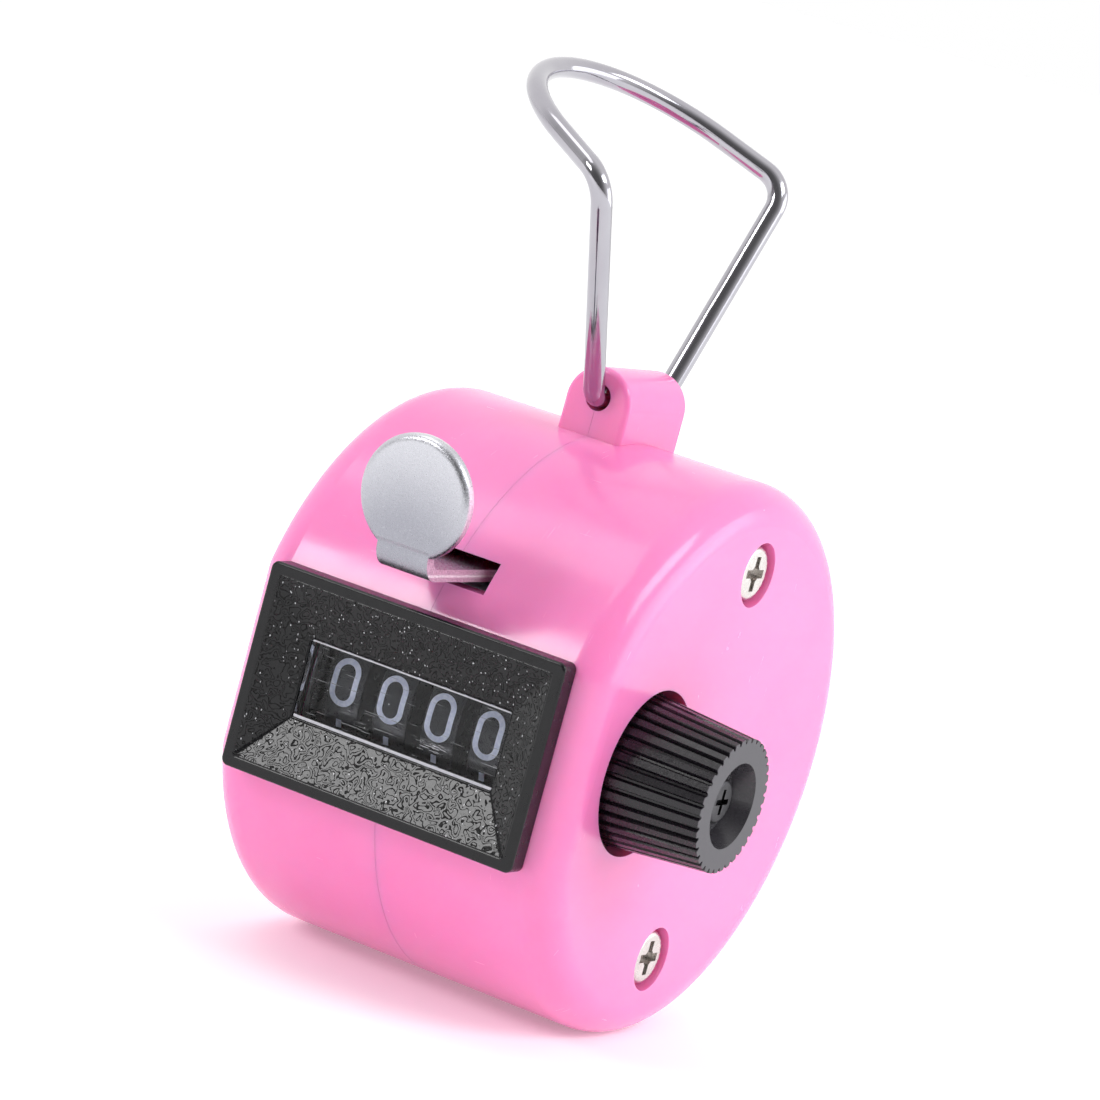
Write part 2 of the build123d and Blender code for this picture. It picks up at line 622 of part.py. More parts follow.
with BuildPart() as thumb_lever:
    with BuildSketch(side_plane(-PAD_RADIUS)):
        with BuildLine():
            FilletPolyline(*under_side, radius=[BEND_RADIUS, 0.25, 0])
            FilletPolyline(*upper_side, radius=[BEND_RADIUS - SHEET, 0.35, 0])
            Line(under_side[0], upper_side[0])
            Line(under_side[-1], upper_side[-1])
        make_face()
    extrude(amount=2 * PAD_RADIUS)
    with BuildSketch(front_plane(BRIDGE_Y[1])):
        with Locations((0, PAD_CENTRE_Z)):
            Circle(PAD_RADIUS)
        with Locations((0, PAD_CENTRE_Z - PAD_RADIUS)):
            Rectangle(ARM_WIDTH, 3 * PAD_RADIUS - 9)
    extrude(amount=BRIDGE_Y[1] - pad_front(pad_top), mode=Mode.INTERSECT)
    pad_face = thumb_lever.faces().filter_by(GeomType.PLANE).sort_by(Axis.Y)[0]
    fillet(pad_face.edges().filter_by(GeomType.LINE, reverse=True), PAD_EDGE_ROUND)
    box((-LEG_OUTER, LEG_OUTER), BRIDGE_Y, (ARM_TOP - SHEET, ARM_TOP))
    for side in (-1, 1):
        leg_x = sorted((side * LEG_INNER, side * LEG_OUTER))
        plate(*leg_x, LEG_OUTLINE, corner=0.5)
        rod(*leg_x, LEVER_PIN_RADIUS + 0.05, LEVER_PIVOT, Mode.SUBTRACT)
        rod(*leg_x, PAWL_PIN_RADIUS, PAWL_PIVOT, Mode.SUBTRACT)
    box((-LEG_INNER - 0.1, -8.45), (-14.75, -13.17), (-5.4, -4.6))
finish_part(thumb_lever.part, "thumb_lever")

with BuildPart() as lever_pin:
    rod(-PLATE_OUTER - 0.5, PLATE_OUTER + 0.5, LEVER_PIN_RADIUS, LEVER_PIVOT)
    chamfer(lever_pin.edges().filter_by(GeomType.CIRCLE), 0.2)
finish_part(lever_pin.part, "lever_pin")


def torsion_spring(start_x, centre, coil_radius, wire_radius, pitch, turns, start_angle, arms):
    """A coil along X about centre = (y, z), with a straight arm at each end.

    The coil starts at start_angle about its centre and runs clockwise, seen from the right.
    """
    with BuildLine() as coil_line:
        coil = Helix(pitch, pitch * turns, coil_radius, lefthand=True)
        Line(coil @ 0 - (coil % 0) * arms[0], coil @ 0)
        Line(coil @ 1, coil @ 1 + (coil % 1) * arms[1])
    start_direction = (0, *polar(1, start_angle))
    coil_plane = Plane(origin=(MID + start_x, *centre), x_dir=start_direction, z_dir=(1, 0, 0))
    wire = coil_line.wire().moved(coil_plane.location)
    with BuildSketch(Plane(origin=wire @ 0, z_dir=wire % 0)) as section:
        Circle(wire_radius)
    sweep(section.sketch, path=wire)


with BuildPart() as lever_spring:
    # One arm pushes the tab on the lever's left leg forwards; the other rests on a frame spacer.
    torsion_spring(-8.55, LEVER_PIVOT, 1.35, 0.25, 0.56, 5.75, 0, arms=(7.1, 5.4))
finish_part(lever_spring.part, "lever_spring")

# ==== counting pawl ====

with BuildPart() as pawl_comb:
    rod(-7.4, 9.3, PAWL_HUB_RADIUS, PAWL_PIVOT)
    for place, x in enumerate(FINGER_X):
        short = FINGER_STEP * (len(FINGER_X) - 1 - place)
        tip_y = PAWL_TIP[0] - 0.35 * short
        tip_z = PAWL_TIP[1] + short
        plate(
            x - FINGER_WIDTH / 2,
            x + FINGER_WIDTH / 2,
            [
                (PAWL_PIVOT[0] - 1.0, PAWL_PIVOT[1]),
                (PAWL_PIVOT[0] + 1.0, PAWL_PIVOT[1] - 0.2),
                (tip_y + 0.35, tip_z + 0.5),
                (tip_y, tip_z),
                (tip_y - 0.55, tip_z + 0.35),
            ],
        )
    plate(
        -8.2,
        -6.6,
        [(-13.6, 10.2), (-12.7, 9.8), (-12.7, 8.75), (-13.24, 8.75), (-13.24, 9.6)],
    )
    rod(-8.3, 9.3, PAWL_PIN_RADIUS + 0.04, PAWL_PIVOT, Mode.SUBTRACT)
finish_part(pawl_comb.part, "pawl_comb")

with BuildPart() as pawl_pin:
    rod(-LEG_OUTER - 0.1, LEG_OUTER + 0.1, PAWL_PIN_RADIUS, PAWL_PIVOT)
finish_part(pawl_pin.part, "pawl_pin")

with BuildPart() as pawl_spring:
    # One arm presses up under the lever's bridge; the other pushes the pawl towards the ratchets.
    torsion_spring(-9.2, PAWL_PIVOT, 0.86, 0.13, 0.3, 4 + 70 / 360, 70, arms=(1.55, 0.9))
finish_part(pawl_spring.part, "pawl_spring")

# ==== finger ring ====


def bend(before, corner, after, radius):
    """Start, middle and end of the arc that rounds one corner of the wire."""
    into = (corner - before).normalized()
    out = (after - corner).normalized()
    half_turn = radians(into.get_angle(out)) / 2
    to_middle = (out - into).normalized() * radius * (1 / cos(half_turn) - 1)
    run = radius * tan(half_turn)
    return corner - into * run, corner + to_middle, corner + out * run


pin_front, pin_back = (Vector(MID, y, HINGE_Z) for y in PIN_ENDS)
foot_front, foot_back = (Vector(MID, y, HINGE_Z) for y in LEG_FEET)
corner_front = Vector(MID, 0, 0) + Vector(*FRONT_CORNER)
corner_back = Vector(MID, 0, 0) + Vector(*BACK_CORNER)

# The arch: from each corner a straight run that is tangent to its round end.
across = (corner_back - corner_front).normalized()
onward = Vector(*ARCH_DIRECTION)
onward = (onward - across * onward.dot(across)).normalized()
arch_centre = (corner_front + corner_back) * 0.5 + onward * ARCH_CENTRE
half_width = (corner_back - corner_front).length / 2
end_angle = acos(ARCH_RADIUS / sqrt(half_width**2 + ARCH_CENTRE**2)) - atan2(ARCH_CENTRE, half_width)
end_across = across * (ARCH_RADIUS * cos(end_angle))
end_onward = onward * (ARCH_RADIUS * sin(end_angle))
arch_start = arch_centre - end_across + end_onward
arch_end = arch_centre + end_across + end_onward
arch_top = arch_centre + onward * ARCH_RADIUS

bends = [
    bend(pin_front, foot_front, corner_front, FOOT_BEND),
    bend(foot_front, corner_front, arch_start, CORNER_BEND),
    (arch_start, arch_top, arch_end),
    bend(arch_end, corner_back, foot_back, CORNER_BEND),
    bend(corner_back, foot_back, pin_back, FOOT_BEND),
]

with BuildPart() as finger_ring:
    with BuildLine() as ring_line:
        straight_from = pin_front
        for bend_start, bend_middle, bend_end in bends:
            Line(straight_from, bend_start)
            ThreePointArc(bend_start, bend_middle, bend_end)
            straight_from = bend_end
        Line(straight_from, pin_back)
    with BuildSketch(Plane(origin=pin_front, z_dir=(0, -1, 0))):
        Circle(WIRE_RADIUS)
    sweep(path=ring_line.wire())
finish_part(finger_ring.part, "finger_ring")
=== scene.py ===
"""Looks of the hand tally counter: studio, finishes for every CAD node, and the figures on the wheels.

Lengths called _MM or _mm are millimetres; everything handed to Blender is in metres, in the CAD frame.
"""

import json
import math

import bpy
from mathutils import Matrix, Vector


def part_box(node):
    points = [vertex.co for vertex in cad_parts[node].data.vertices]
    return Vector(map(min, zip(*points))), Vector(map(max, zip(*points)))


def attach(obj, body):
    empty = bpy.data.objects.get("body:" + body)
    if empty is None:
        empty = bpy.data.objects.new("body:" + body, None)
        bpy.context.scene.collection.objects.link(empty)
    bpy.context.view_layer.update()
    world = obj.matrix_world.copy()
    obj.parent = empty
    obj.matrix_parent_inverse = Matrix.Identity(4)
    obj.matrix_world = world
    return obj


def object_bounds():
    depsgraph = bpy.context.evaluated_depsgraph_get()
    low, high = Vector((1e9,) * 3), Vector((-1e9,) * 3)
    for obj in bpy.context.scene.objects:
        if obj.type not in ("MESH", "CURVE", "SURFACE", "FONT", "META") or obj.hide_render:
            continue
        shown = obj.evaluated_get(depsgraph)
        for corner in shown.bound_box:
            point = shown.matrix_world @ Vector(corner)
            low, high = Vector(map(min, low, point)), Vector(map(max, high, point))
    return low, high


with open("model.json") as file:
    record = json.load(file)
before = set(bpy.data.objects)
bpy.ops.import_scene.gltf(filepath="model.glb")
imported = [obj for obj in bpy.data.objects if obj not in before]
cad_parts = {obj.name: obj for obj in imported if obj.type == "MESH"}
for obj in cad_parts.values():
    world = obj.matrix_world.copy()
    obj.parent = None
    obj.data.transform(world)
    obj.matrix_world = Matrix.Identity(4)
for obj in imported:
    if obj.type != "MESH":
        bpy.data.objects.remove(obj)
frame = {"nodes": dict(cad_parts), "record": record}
cad_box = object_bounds()
nodes = frame["nodes"]
MM = 0.001
WHITE = (1, 1, 1)


# ==== where things are, from the CAD boxes ====

bezel_lo, bezel_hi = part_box("bezel")
lens_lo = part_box("window_lens")[0]
pad_lo, pad_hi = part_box("thumb_lever")
knob_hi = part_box("reset_knob")[1]
wheel_lo, wheel_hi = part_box("units_wheel")
case_middle = Vector((bezel_lo.x + bezel_hi.x, 0, 0)) / 2
AXLE_Y = (wheel_lo.y + wheel_hi.y) / 2
DRUM_RADIUS = (wheel_hi.z - wheel_lo.z) / 2


# ==== studio ====

CAMERA_AIM = case_middle + Vector((-2.64, 0.53, 12.15)) * MM
CAMERA_AZIMUTH = 27.10  # degrees, as seen from above, 0 looking along +Y
CAMERA_ELEVATION = 7.85
CAMERA_ROLL = 15.19
CAMERA_DISTANCE = 0.3679
CAMERA_SENSOR = 36.0  # mm across
CAMERA_LENS = 152.0  # mm

ROOM_BRIGHT = 1.15
ROOM_DIM = 0.16
ROOM_DIM_AZIMUTH = 12  # of the room's dimmest side
ROOM_DIM_FROM, ROOM_DIM_TO = -0.2, 0.95  # cosines of the angle from that side: all bright, all dim
FLOOR_GLOW = 0.2  # the floor is a dimly lit table
FLOOR_HALF = 6.0  # metres from its middle to each side


def direction(azimuth, elevation):
    """Unit vector from the object towards a place at that azimuth and elevation, in degrees."""
    a, e = math.radians(azimuth), math.radians(elevation)
    return Vector((math.sin(a) * math.cos(e), -math.cos(a) * math.cos(e), math.sin(e)))


def facing(back):
    """Rotation of a camera or a lamp that stands in that direction and looks at the object."""
    return (-back).to_track_quat("-Z", "Y").to_matrix()


def add(obj):
    bpy.context.scene.collection.objects.link(obj)
    return obj


def make_camera():
    data = bpy.data.cameras.new("camera")
    data.lens = CAMERA_LENS
    data.sensor_width = CAMERA_SENSOR
    data.clip_start = 0.01
    data.clip_end = 50
    camera = add(bpy.data.objects.new("camera", data))
    back = direction(CAMERA_AZIMUTH, CAMERA_ELEVATION)
    turn = facing(back) @ Matrix.Rotation(math.radians(CAMERA_ROLL), 3, "Z")
    camera.matrix_world = Matrix.Translation(CAMERA_AIM + back * CAMERA_DISTANCE) @ turn.to_4x4()
    bpy.context.scene.camera = camera


def softbox(name, azimuth, elevation, distance, width, height, radiance, colour=WHITE):
    """An area light aimed at the case, sizes in metres; radiance is what its face shows."""
    data = bpy.data.lights.new(name, "AREA")
    data.shape = "RECTANGLE"
    data.size = width
    data.size_y = height
    data.energy = radiance * math.pi * width * height
    data.color = colour
    light = add(bpy.data.objects.new(name, data))
    back = direction(azimuth, elevation)
    light.matrix_world = Matrix.Translation(case_middle + back * distance) @ facing(back).to_4x4()
    light.visible_camera = False


def make_world():
    """A soft white room, dimmer on one side, behind a plain white backdrop for the camera."""
    world = bpy.data.worlds.new("room")
    bpy.context.scene.world = world
    world.use_nodes = True
    tree = world.node_tree
    tree.nodes.clear()
    coord = tree.nodes.new("ShaderNodeTexCoord")
    towards = tree.nodes.new("ShaderNodeVectorMath")
    towards.operation = "DOT_PRODUCT"
    towards.inputs[1].default_value = direction(ROOM_DIM_AZIMUTH, 0)
    level = tree.nodes.new("ShaderNodeMapRange")
    level.interpolation_type = "SMOOTHSTEP"
    for socket, value in zip(level.inputs[1:5], (ROOM_DIM_FROM, ROOM_DIM_TO, ROOM_BRIGHT, ROOM_DIM)):
        socket.default_value = value
    room, backdrop = (tree.nodes.new("ShaderNodeBackground") for _ in range(2))
    for background in (room, backdrop):
        background.inputs["Color"].default_value = (*WHITE, 1)
    path = tree.nodes.new("ShaderNodeLightPath")
    mix = tree.nodes.new("ShaderNodeMixShader")
    out = tree.nodes.new("ShaderNodeOutputWorld")
    for source, socket in (
        (coord.outputs["Generated"], towards.inputs[0]),
        (towards.outputs["Value"], level.inputs[0]),
        (level.outputs[0], room.inputs["Strength"]),
        (path.outputs["Is Camera Ray"], mix.inputs[0]),
        (room.outputs[0], mix.inputs[1]),
        (backdrop.outputs[0], mix.inputs[2]),
        (mix.outputs[0], out.inputs["Surface"]),
    ):
        tree.links.new(source, socket)


# ==== how a finish is made ====


class Finish:
    """A Principled material whose detail is worked out in millimetres on the object itself."""

    def __init__(self, name, **sockets):
        self.material = bpy.data.materials.new(name)
        self.material.use_nodes = True
        self.tree = self.material.node_tree
        self.shader = self.tree.nodes["Principled BSDF"]
        for socket, value in sockets.items():
            self.shader.inputs[socket.replace("_", " ")].default_value = value
        self.coord = self.tree.nodes.new("ShaderNodeTexCoord")
        self.place = self.vector("SCALE", self.coord.outputs["Object"], scale=1 / MM)

    def link(self, value, socket):
        if isinstance(value, bpy.types.NodeSocket):
            self.tree.links.new(value, socket)
        else:
            socket.default_value = value

    def set(self, socket, value):
        self.link(value, self.shader.inputs[socket])

    def vector(self, operation, a, b=None, scale=None):
        n = self.tree.nodes.new("ShaderNodeVectorMath")
        n.operation = operation
        self.link(a, n.inputs[0])
        if b is not None:
            self.link(b, n.inputs[1])
        if scale is not None:
            n.inputs["Scale"].default_value = scale
        return n.outputs["Value" if operation == "LENGTH" else "Vector"]

    def math(self, operation, a, b=0.0):
        n = self.tree.nodes.new("ShaderNodeMath")
        n.operation = operation
        self.link(a, n.inputs[0])
        self.link(b, n.inputs[1])
        return n.outputs[0]

    def both(self, a, b):
        return self.math("MULTIPLY", a, b)

    def either(self, a, b):
        return self.math("MAXIMUM", a, b)

    def without(self, a):
        return self.math("SUBTRACT", 1.0, a)

    def axis_of(self, vector, axis):
        n = self.tree.nodes.new("ShaderNodeSeparateXYZ")
        self.tree.links.new(vector, n.inputs[0])
        return n.outputs["XYZ".index(axis)]

    def part(self, axis):
        """One coordinate, in millimetres."""
        return self.axis_of(self.place, axis)

    def normal_part(self, axis):
        """One part of the surface's own normal on the object."""
        return self.axis_of(self.coord.outputs["Normal"], axis)

    def off(self, axis, middle):
        """How far along one axis from a middle, in millimetres."""
        return self.math("ABSOLUTE", self.math("SUBTRACT", self.part(axis), middle))

    def distance(self, centre, weights):
        """How far from a centre in millimetres, with each axis given its weight."""
        away = self.vector("SUBTRACT", self.place, centre)
        return self.vector("LENGTH", self.vector("MULTIPLY", away, weights))

    def noise(self, per_mm, detail=2.0, roughness=0.5, distortion=0.0, stretch=(1, 1, 1), turn=0.0):
        mapping = self.tree.nodes.new("ShaderNodeMapping")
        mapping.inputs["Scale"].default_value = stretch
        mapping.inputs["Rotation"].default_value = (0, math.radians(turn), 0)
        self.tree.links.new(self.place, mapping.inputs["Vector"])
        n = self.tree.nodes.new("ShaderNodeTexNoise")
        self.tree.links.new(mapping.outputs[0], n.inputs["Vector"])
        n.inputs["Scale"].default_value = per_mm
        n.inputs["Detail"].default_value = detail
        n.inputs["Roughness"].default_value = roughness
        n.inputs["Distortion"].default_value = distortion
        return n.outputs[0]

    def cells(self, per_mm, stretch=(1, 1, 1)):
        """Distance from the nearest of many scattered points, as a share of their spacing."""
        n = self.tree.nodes.new("ShaderNodeTexVoronoi")
        n.inputs["Scale"].default_value = per_mm
        self.tree.links.new(self.vector("MULTIPLY", self.place, stretch), n.inputs["Vector"])
        return n.outputs["Distance"]

    def step(self, value, low, high, to_low=0.0, to_high=1.0):
        """Smoothly from to_low to to_high as value goes from low to high."""
        n = self.tree.nodes.new("ShaderNodeMapRange")
        n.interpolation_type = "SMOOTHSTEP"
        self.link(value, n.inputs[0])
        for socket, number in zip(n.inputs[1:5], (low, high, to_low, to_high)):
            self.link(number, socket)
        return n.outputs[0]

    def mix(self, share, a, b):
        """Two colours."""
        n = self.tree.nodes.new("ShaderNodeMix")
        n.data_type = "RGBA"
        self.link(share, n.inputs[0])
        for socket, colour in ((n.inputs[6], a), (n.inputs[7], b)):
            self.link(colour if isinstance(colour, bpy.types.NodeSocket) else (*colour, 1), socket)
        return n.outputs[2]

    def blend(self, share, a, b):
        """Two numbers."""
        n = self.tree.nodes.new("ShaderNodeMix")
        self.link(share, n.inputs[0])
        self.link(a, n.inputs[2])
        self.link(b, n.inputs[3])
        return n.outputs[0]

    def bump(self, *layers):
        """Each layer is (height between 0 and 1, its depth in millimetres)."""
        normal = None
        for height, depth_mm in layers:
            n = self.tree.nodes.new("ShaderNodeBump")
            n.inputs["Strength"].default_value = 1.0
            n.inputs["Distance"].default_value = depth_mm * MM
            self.tree.links.new(height, n.inputs["Height"])
            if normal is not None:
                self.tree.links.new(normal, n.inputs["Normal"])
            normal = n.outputs[0]
        self.tree.links.new(normal, self.shader.inputs["Normal"])


# ==== finishes of the plastics ====

BEZEL_RIM_MM = 0.85  # width of the smooth rim round the funnel
FUNNEL_DEPTH_MM = 1.65
LENS_FOOT_MM = -3.125  # heights of the window's lower and upper edge
LENS_HEAD_MM = 3.02
KNOB_RECESS_RADIUS_MM = 3.35
KNOB_RECESS_REACH_MM = 2.2  # from the knob's end face to a little past the recess's floor


def body_plastic():
    """Glossy pink ABS: faint flow streaks, orange peel and handling scratches."""
    f = Finish(
        "body_plastic",
        IOR=1.56,
        Subsurface_Weight=0.45,
        Subsurface_Radius=(1.0, 0.3, 0.45),
        Subsurface_Scale=1.3 * MM,
    )
    deep, full, streak = (0.925, 0.225, 0.520), (0.940, 0.245, 0.545), (0.945, 0.27, 0.570)
    drift = f.noise(0.06, detail=3)
    flow = f.noise(0.22, detail=4, distortion=0.6, stretch=(1, 0.35, 1))
    pink = f.mix(f.step(drift, 0.3, 0.7), deep, full)
    f.set("Base Color", f.mix(f.step(flow, 0.35, 0.75, 0, 0.35), pink, streak))
    scratch = f.step(f.noise(0.9, detail=1, stretch=(9, 0.25, 0.25)), 0.66, 0.72)
    crossed = f.step(f.noise(0.9, detail=1, stretch=(0.25, 7, 0.25), turn=38), 0.67, 0.73)
    worn = f.either(scratch, crossed)
    haze = f.step(f.noise(0.35, detail=5, roughness=0.6), 0.3, 0.75, 0.14, 0.22)
    f.set("Roughness", f.math("ADD", haze, f.both(worn, 0.07)))
    f.bump((f.noise(0.55, detail=2), 0.006), (f.noise(3.0, detail=3), 0.0012), (worn, 0.0008))
    return f.material


def bezel_plastic():
    """Black moulded plastic: a smooth rim round funnel walls with an etched grain, painted shade in the
    grain's grooves and painted glints on the walls.
    """
    f = Finish("bezel_plastic", IOR=1.45, Specular_IOR_Level=0.42)
    centre = (bezel_lo + bezel_hi) / 2 / MM
    half = (bezel_hi - bezel_lo) / 2 / MM

    def inside_rim(axis, middle, half_length):
        reach = half_length - BEZEL_RIM_MM
        return f.step(f.off(axis, middle), reach - 0.16, reach - 0.06, 1, 0)

    mouth = f.both(inside_rim("X", centre.x, half.x), inside_rim("Z", centre.z, half.z))
    floor_y = bezel_lo.y / MM + FUNNEL_DEPTH_MM
    wall = f.both(mouth, f.step(f.part("Y"), floor_y - 0.06, floor_y - 0.01, 1, 0))

    field = f.noise(1.25, detail=1.2, roughness=0.4, distortion=0.4)
    worms = f.math("PINGPONG", f.math("ADD", field, 0.02), 0.062)
    raised = f.step(worms, 0.003, 0.019)
    grain = f.both(raised, f.step(f.noise(2.2, detail=1), 0.25, 0.75, 0.9, 1.0))
    # painted shade: the grooves between the raised grain on the funnel walls are painted a darker black
    painted_groove_shade = f.both(f.without(raised), wall)
    # painted glints: scattered tiny pale grey dots on the funnel walls stand in for light glinting off the
    # grain
    painted_glint_dots = f.step(f.cells(2.9, stretch=(1.0, 1.0, 0.6)), 0.10, 0.18, 1, 0)
    painted_glints = f.both(f.both(painted_glint_dots, f.step(f.noise(1.7, detail=1), 0.42, 0.52)), wall)

    black = f.mix(f.noise(0.8, detail=4), (0.0035, 0.0035, 0.0045), (0.0065, 0.006, 0.0075))
    black = f.mix(painted_groove_shade, black, (0.002, 0.002, 0.002))
    f.set("Base Color", f.mix(f.both(painted_glints, 0.9), black, (0.62, 0.62, 0.65)))
    smooth = f.step(f.noise(1.5, detail=4), 0.3, 0.7, 0.20, 0.28)
    f.set("Roughness", f.blend(wall, smooth, f.blend(raised, 0.55, 0.15)))
    fine = f.noise(9.0, detail=3, roughness=0.6)
    f.bump((f.both(grain, wall), 0.075), (f.both(fine, f.blend(wall, 0.2, 1.0)), 0.006))
    return f.material


def clear_plastic():
    """Clear acrylic with a patch of fine scratches, a few specks of dust, and a painted highlight along the
    top and bottom edges of its front.
    """
    f = Finish("clear_plastic", IOR=1.25)
    front = f.step(f.part("Y"), lens_lo.y / MM + 0.02, lens_lo.y / MM + 0.10, 1, 0)
    patch_at = Vector((case_middle.x / MM + 3.0, lens_lo.y / MM, -1.55))
    patch = f.step(f.distance(patch_at, (0.42, 1, 1.5)), 0.35, 1.1, 1, 0)
    lines = f.step(f.noise(1.0, detail=3, roughness=0.7, stretch=(0.8, 1, 13), turn=-6), 0.57, 0.63)
    stray = f.step(f.noise(1.0, detail=1, stretch=(0.35, 1, 11), turn=9), 0.70, 0.73)
    specks = f.step(f.cells(1.1), 0.035, 0.06, 1, 0)
    scratches = f.either(f.both(lines, patch), f.both(stray, 0.5))
    wear = f.both(f.either(scratches, f.both(specks, 0.7)), front)
    # painted highlight: narrow strips along the lower and upper edges of the front face are painted pale
    # grey and made less clear
    foot = f.step(f.part("Z"), LENS_FOOT_MM + 0.24, LENS_FOOT_MM + 0.33, 1, 0)
    head = f.step(f.part("Z"), LENS_HEAD_MM - 0.10, LENS_HEAD_MM - 0.03)
    painted_edge_highlight = f.both(f.either(foot, head), front)
    wear_and_painted_highlight = f.either(wear, painted_edge_highlight)
    painted_highlight_grey = f.mix(f.noise(2.5, detail=3), (0.50, 0.49, 0.55), (0.80, 0.79, 0.84))
    wear_and_highlight_colour = f.mix(painted_edge_highlight, (0.85, 0.87, 0.92), painted_highlight_grey)
    f.set("Base Color", f.mix(wear_and_painted_highlight, (0.90, 0.905, 0.935), wear_and_highlight_colour))
    f.set("Transmission Weight", f.step(wear_and_painted_highlight, 0, 1, 1.0, f.blend(painted_edge_highlight, 0.45, 0.12)))
    f.set("Roughness", f.step(wear_and_painted_highlight, 0, 1, 0.015, 0.35))
    return f.material


def knob_plastic():
    """Black satin plastic, a little rough from the mould, its end face painted grey as a painted sheen and
    its recess painted dark grey as painted light.
    """
    f = Finish("knob_plastic", IOR=1.5)
    black = f.mix(f.noise(0.9, detail=4, stretch=(0.3, 1, 1)), (0.005, 0.004, 0.006), (0.010, 0.008, 0.012))
    from_axle = f.distance(Vector((0, AXLE_Y / MM, 0)), (0, 1, 1))
    outside = f.step(from_axle, KNOB_RECESS_RADIUS_MM, KNOB_RECESS_RADIUS_MM + 0.15)
    # painted sheen: the end face round the recess is painted a lighter grey
    end = knob_hi.x / MM
    face = f.both(f.step(f.part("X"), end - 0.08, end - 0.02), outside)
    # painted light: the recess in the end is painted a dark grey, lighter than the black round it
    reach = end - KNOB_RECESS_REACH_MM
    recess = f.both(f.step(f.part("X"), reach, reach + 0.2), f.without(outside))
    black_with_painted_recess_light = f.mix(recess, black, (0.034, 0.031, 0.037))
    f.set("Base Color", f.mix(face, black_with_painted_recess_light, (0.060, 0.056, 0.066)))
    rough = f.step(f.noise(2.2, detail=5, roughness=0.65), 0.3, 0.7, 0.22, 0.32)
    f.set("Roughness", f.blend(face, rough, 0.42))
    f.bump((f.noise(6.0, detail=3), 0.004), (f.noise(1.0, detail=2, stretch=(0.2, 1, 1)), 0.006))
    return f.material


def wheel_plastic():
    """Dark grey moulded drums, dusty and slightly uneven."""
    f = Finish("wheel_plastic", IOR=1.5, Specular_IOR_Level=0.3)
    f.set("Base Color", f.mix(f.noise(0.7, detail=5), (0.009, 0.009, 0.013), (0.016, 0.016, 0.021)))
    dust = f.step(f.noise(7.0, detail=4, roughness=0.7), 0.60, 0.72)
    rough = f.step(f.noise(2.0, detail=4), 0.3, 0.7, 0.26, 0.36)
    f.set("Roughness", f.math("ADD", rough, f.both(dust, 0.2)))
    f.bump((f.noise(1.8, detail=3), 0.008), (dust, 0.004))
    return f.material


def washer_nylon():
    f = Finish("washer_nylon", IOR=1.53)
    f.set("Base Color", f.mix(f.noise(1.0, detail=3), (0.62, 0.58, 0.50), (0.74, 0.71, 0.64)))
    f.set("Roughness", f.step(f.noise(4.0, detail=3), 0.3, 0.7, 0.38, 0.52))
    f.bump((f.noise(5.0, detail=3), 0.003))
    return f.material


def figure_paint():
    """Pale bluish ink, thinner in places."""
    f = Finish("figure_paint", IOR=1.5)
    thickness = f.step(f.noise(3.5, detail=4), 0.35, 0.7)
    f.set("Base Color", f.mix(thickness, (0.66, 0.71, 0.88), (0.82, 0.86, 0.98)))
    f.set("Roughness", f.step(f.noise(5.0, detail=3), 0.3, 0.7, 0.42, 0.6))
    f.bump((f.noise(6.0, detail=3), 0.003))
    return f.material


def floor_paint():
    f = Finish(
        "floor_paint",
        Specular_IOR_Level=0.2,
        Emission_Color=(*WHITE, 1),
        Emission_Strength=FLOOR_GLOW,
    )
    f.set("Base Color", f.mix(f.noise(0.02, detail=3), (0.90, 0.90, 0.90), (0.93, 0.93, 0.93)))
    f.set("Roughness", f.step(f.noise(0.2, detail=4), 0.3, 0.7, 0.8, 0.95))
    return f.material


# ==== finishes of the metals ====

PAD_EDGE_MM = 0.34  # width of the pad's turned-over edge
PAD_FLAT_MM = 3.0  # radius within which the pad's face is evenly grey
ARM_MIDDLE_MM = 11.55  # height of the middle of the lever's sheet where it enters the case


